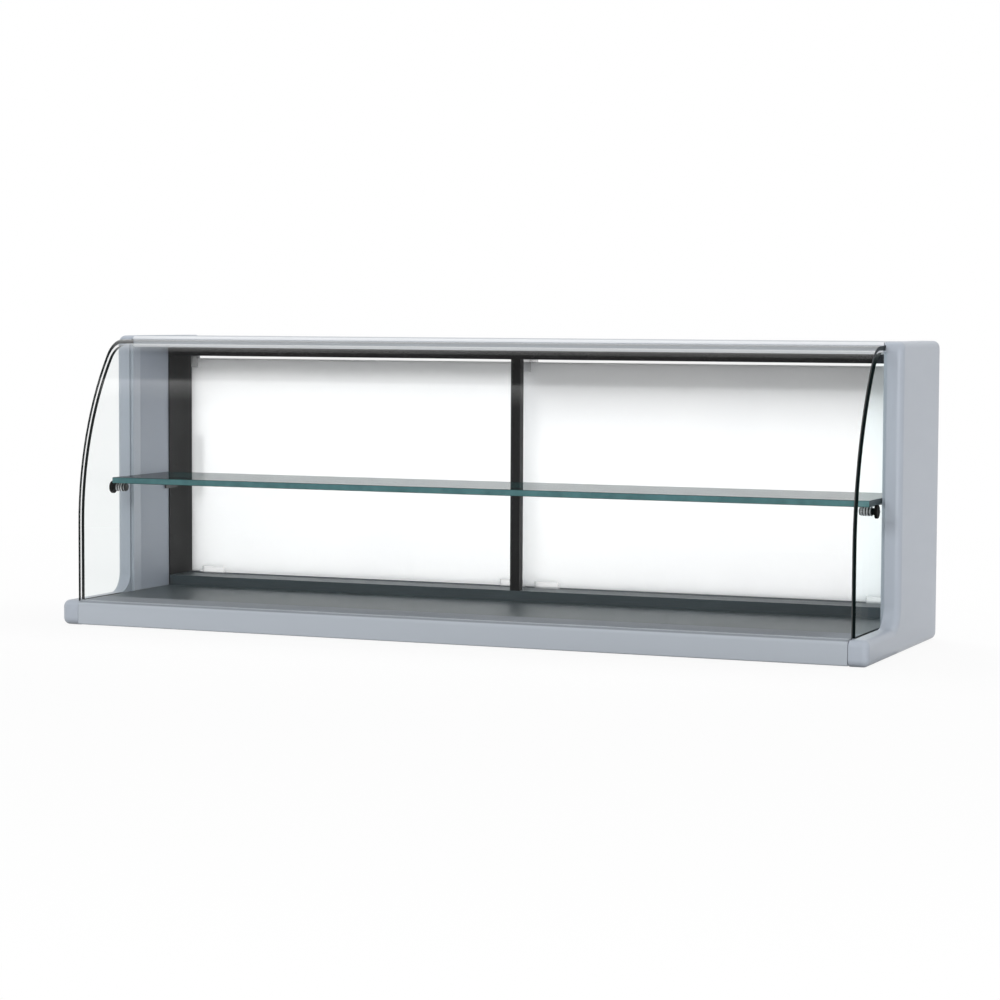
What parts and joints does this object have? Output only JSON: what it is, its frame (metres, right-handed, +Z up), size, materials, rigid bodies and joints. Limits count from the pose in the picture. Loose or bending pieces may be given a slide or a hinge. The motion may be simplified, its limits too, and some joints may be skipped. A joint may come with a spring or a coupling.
{
  "type": "curved-glass display case",
  "caption": "Low countertop display case with a curved glass front, glass ends, a glass shelf and sliding rear doors.",
  "frame": {"origin": "middle of the footprint, on the surface that the case stands on", "axes": "+X to the right as the customer sees it, along the length; -Y towards the customer; +Z up"},
  "size_m": [1.28, 0.39, 0.445],
  "materials": {
    "cap_silver": "satin silver moulding",
    "inner_grey": "satin grey paint",
    "satin_silver": "satin silver coating",
    "top_silver": "satin silver paint",
    "black_rubber": "matt",
    "clear_glass": "clear, polished edges",
    "shelf_glass": "clear with green polished edges",
    "deck_steel": "dark brushed",
    "plain_steel": "mill",
    "underside_white": "satin white paint",
    "zinc_screws": "zinc plated",
    "black_screws": "black",
    "dark_frame": "satin dark grey paint",
    "track_plastic": "extruded",
    "pin_steel": "polished",
    "black_plastic": "moulded",
    "dark_fittings": "dark coating",
    "opal_panel": "translucent white sheet",
    "clear_plastic": "clear moulded",
    "pull_plastic": "moulded strip"
  },
  "bodies": {
    "case": {"end_cap_left": "cap_silver", "end_cap_right": "cap_silver", "end_panel_left": "inner_grey", "end_panel_right": "inner_grey", "front_ledge": "satin_silver", "front_glass_gasket": "black_rubber", "front_glass": "clear_glass", "side_glass_left": "clear_glass", "side_glass_right": "clear_glass", "side_glass_gasket_left": "black_rubber", "side_glass_gasket_right": "black_rubber", "deck_panel": "deck_steel", "base_pan": "plain_steel", "cross_member_1": "plain_steel", "cross_member_2": "plain_steel", "cross_member_3": "plain_steel", "cross_member_4": "plain_steel", "base_screws": "zinc_screws", "ledge_screws": "zinc_screws", "head_rail": "dark_frame", "upper_track": "track_plastic", "rear_sill": "dark_frame", "lower_track": "track_plastic", "jamb_left": "dark_frame", "jamb_right": "dark_frame", "jamb_screws": "black_screws", "centre_post": "dark_frame", "post_strip": "black_rubber", "top_nose": "satin_silver", "top_glass_gasket": "black_rubber", "top_panel": "top_silver", "top_underside": "underside_white", "top_stiffener": "plain_steel", "top_screws": "zinc_screws", "shelf_glass": "shelf_glass", "shelf_pin_left": "pin_steel", "shelf_pin_right": "pin_steel", "shelf_pin_tip_left": "black_rubber", "shelf_pin_tip_right": "black_rubber", "shelf_pin_cap_left": "black_plastic", "shelf_pin_cap_right": "black_plastic", "shelf_bracket_left": "dark_fittings", "shelf_bracket_right": "dark_fittings", "bracket_screws": "black_screws", "shelf_stud": "dark_fittings"},
    "left_door": {"door_left": "opal_panel", "door_left_guides": "clear_plastic", "door_left_glides": "clear_plastic", "door_left_pull": "pull_plastic"},
    "right_door": {"door_right": "opal_panel", "door_right_guides": "clear_plastic", "door_right_glides": "clear_plastic", "door_right_pull": "pull_plastic"}
  },
  "joints": [
    {"name": "left_door_slide", "type": "slide", "parent": "case", "child": "left_door", "axis": [1, 0, 0], "range_m": [-0.0036, 0.6006]},
    {"name": "right_door_slide", "type": "slide", "parent": "case", "child": "right_door", "axis": [1, 0, 0], "range_m": [-0.6006, 0.0036]}
  ]
}
